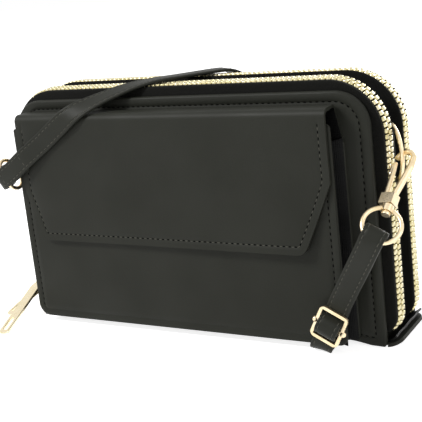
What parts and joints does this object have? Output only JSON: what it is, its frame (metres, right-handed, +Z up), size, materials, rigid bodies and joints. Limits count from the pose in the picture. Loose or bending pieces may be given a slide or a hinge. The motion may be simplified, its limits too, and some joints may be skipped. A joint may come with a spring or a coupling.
{
  "type": "phone pouch",
  "caption": "Flat leather-look wallet bag with two zips round three sides, a flap pocket for a phone, and a strap on two trigger hooks.",
  "frame": {"origin": "middle of the base, on the surface that the bag stands on", "axes": "X along the width, Y from the front to the back, Z up"},
  "size_m": [0.2245, 0.1563, 0.1202],
  "materials": {
    "body_leather": "smooth satin",
    "strap_leather": "smooth satin",
    "lining": "matte",
    "zip_tape": "woven matte",
    "zip_metal": "polished pale gold",
    "pull_metal": "polished pale gold",
    "hook_metal": "polished rose gold",
    "magnet_steel": "satin"
  },
  "bodies": {
    "bag": {"center_divider": "lining", "divider_band": "body_leather", "card_slots": "lining", "base_panel": "body_leather", "front_board": "body_leather", "front_zip_outer_tape": "zip_tape", "front_zip_inner_tape": "zip_tape", "back_zip_inner_tape": "zip_tape", "front_zip_outer_teeth": "zip_metal", "front_zip_inner_teeth": "zip_metal", "back_zip_inner_teeth": "zip_metal", "zip_end_stops": "zip_metal", "pocket_rear_panel": "body_leather", "pocket_gusset": "lining", "pocket_front_panel": "body_leather", "flap_tail": "body_leather", "pocket_magnet": "magnet_steel", "ring_tab_right": "body_leather", "ring_tab_left": "body_leather", "strap_left_end": "strap_leather", "strap_left_run": "strap_leather", "strap_back_fall": "strap_leather", "strap_roll": "strap_leather", "strap_under_run": "strap_leather", "strap_right_run": "strap_leather", "strap_sewn_end": "strap_leather"},
    "back": {"back_board": "body_leather", "back_zip_outer_tape": "zip_tape", "back_zip_outer_teeth": "zip_metal"},
    "flap_bridge": {"flap_bridge": "body_leather"},
    "flap": {"flap_front": "body_leather", "flap_magnet": "magnet_steel"},
    "front_slider": {"front_slider": "pull_metal"},
    "back_slider": {"back_slider": "pull_metal"},
    "front_pull": {"front_pull_link": "pull_metal", "front_pull": "pull_metal"},
    "back_pull": {"back_pull_link": "pull_metal", "back_pull": "pull_metal"},
    "right_ring": {"d_ring_right": "hook_metal"},
    "left_ring": {"d_ring_left": "hook_metal"},
    "right_hook": {"hook_body_right": "hook_metal"},
    "left_hook": {"hook_body_left": "hook_metal"},
    "right_gate": {"hook_gate_right": "hook_metal"},
    "left_gate": {"hook_gate_left": "hook_metal"},
    "right_eye": {"eye_ring_right": "hook_metal"},
    "left_eye": {"eye_ring_left": "hook_metal"},
    "buckle": {"slider_buckle": "hook_metal"}
  },
  "joints": [
    {"name": "flap_bridge_turn", "type": "hinge", "parent": "bag", "child": "flap_bridge", "pos_m": [-0.0036, -0.0216, 0.1055], "axis": [1, 0, 0], "range_deg": [-85, 0], "deforming": ["strap_left_end", "strap_left_run"]},
    {"name": "flap_fold", "type": "hinge", "parent": "flap_bridge", "child": "flap", "pos_m": [-0.0036, -0.0307, 0.107], "axis": [1, 0, 0], "range_deg": [-80, 0], "deforming": ["strap_left_end", "strap_left_run"]},
    {"name": "back_open", "type": "hinge", "parent": "bag", "child": "back", "pos_m": [0, 0.02, 0], "axis": [1, 0, 0], "range_deg": [-50, 0], "deforming": ["back_zip_outer_tape", "back_zip_outer_teeth", "back_zip_inner_tape", "back_zip_inner_teeth", "strap_left_run", "strap_back_fall", "strap_under_run"]},
    {"name": "front_zip_slide", "type": "slide", "parent": "bag", "child": "front_slider", "axis": [0, 0, 1], "range_m": [0, 0.045], "deforming": ["front_zip_outer_tape", "front_zip_inner_tape", "front_zip_outer_teeth", "front_zip_inner_teeth"]},
    {"name": "front_pull_swing", "type": "hinge", "parent": "front_slider", "child": "front_pull", "pos_m": [-0.10085, -0.0105, 0.0166], "axis": [0.9976, 0.0698, 0], "range_deg": [-35, 0]},
    {"name": "back_zip_slide", "type": "slide", "parent": "bag", "child": "back_slider", "axis": [0, 0, 1], "range_m": [0, 0.045], "deforming": ["back_zip_outer_tape", "back_zip_inner_tape", "back_zip_outer_teeth", "back_zip_inner_teeth"]},
    {"name": "back_pull_swing", "type": "hinge", "parent": "back_slider", "child": "back_pull", "pos_m": [-0.10085, 0.0105, 0.0166], "axis": [0.9511, -0.309, 0], "range_deg": [-35, 0]},
    {"name": "right_ring_swing", "type": "hinge", "parent": "bag", "child": "right_ring", "pos_m": [0.09415, 0, 0.082], "axis": [0, 0, 1], "range_deg": [0, 100], "deforming": ["strap_right_run", "strap_sewn_end"]},
    {"name": "right_hook_swing", "type": "hinge", "parent": "right_ring", "child": "right_hook", "pos_m": [0.1041, -0.0099, 0.0822], "axis": [0.9925, -0.1219, 0], "range_deg": [-15, 8], "deforming": ["strap_right_run", "strap_sewn_end"]},
    {"name": "right_gate_open", "type": "hinge", "parent": "right_hook", "child": "right_gate", "pos_m": [0.09949, -0.02436, 0.06864], "axis": [0.2342, 0.6241, -0.7454], "range_deg": [0, 4], "stiffness_Nm_per_rad": 0.01, "springref_deg": -5.73},
    {"name": "right_eye_turn", "type": "hinge", "parent": "right_hook", "child": "right_eye", "pos_m": [0.1041, -0.0099, 0.0822], "axis": [0.092, 0.7491, 0.6561], "range_deg": [-30, 30], "deforming": ["strap_right_run", "strap_sewn_end"]},
    {"name": "left_ring_swing", "type": "hinge", "parent": "bag", "child": "left_ring", "pos_m": [-0.09415, 0, 0.082], "axis": [0, 0, 1], "range_deg": [-24, 4], "deforming": ["strap_left_end"]},
    {"name": "left_hook_swing", "type": "hinge", "parent": "left_ring", "child": "left_hook", "pos_m": [-0.1062, 0.0061, 0.0812], "axis": [0.9613, 0.2756, 0], "range_deg": [-5, 8], "deforming": ["strap_left_end"]},
    {"name": "left_gate_open", "type": "hinge", "parent": "left_hook", "child": "left_gate", "pos_m": [-0.10344, -0.01386, 0.07833], "axis": [-0.0393, 0.1371, -0.9898], "range_deg": [0, 10], "stiffness_Nm_per_rad": 0.01, "springref_deg": -5.73},
    {"name": "left_eye_turn", "type": "hinge", "parent": "left_hook", "child": "left_eye", "pos_m": [-0.1062, 0.0061, 0.0812], "axis": [-0.2728, 0.9514, 0.1426], "range_deg": [-12, 30], "deforming": ["strap_left_end"]},
    {"name": "buckle_slide", "type": "slide", "parent": "bag", "child": "buckle", "axis": [0.454, 0, 0.891], "range_m": [0, 0.012], "deforming": ["strap_right_run", "strap_sewn_end", "strap_under_run"]}
  ],
  "couplings": [
    {"joint": "flap_fold", "follows": "flap_bridge_turn", "ratio": 0.9}
  ]
}
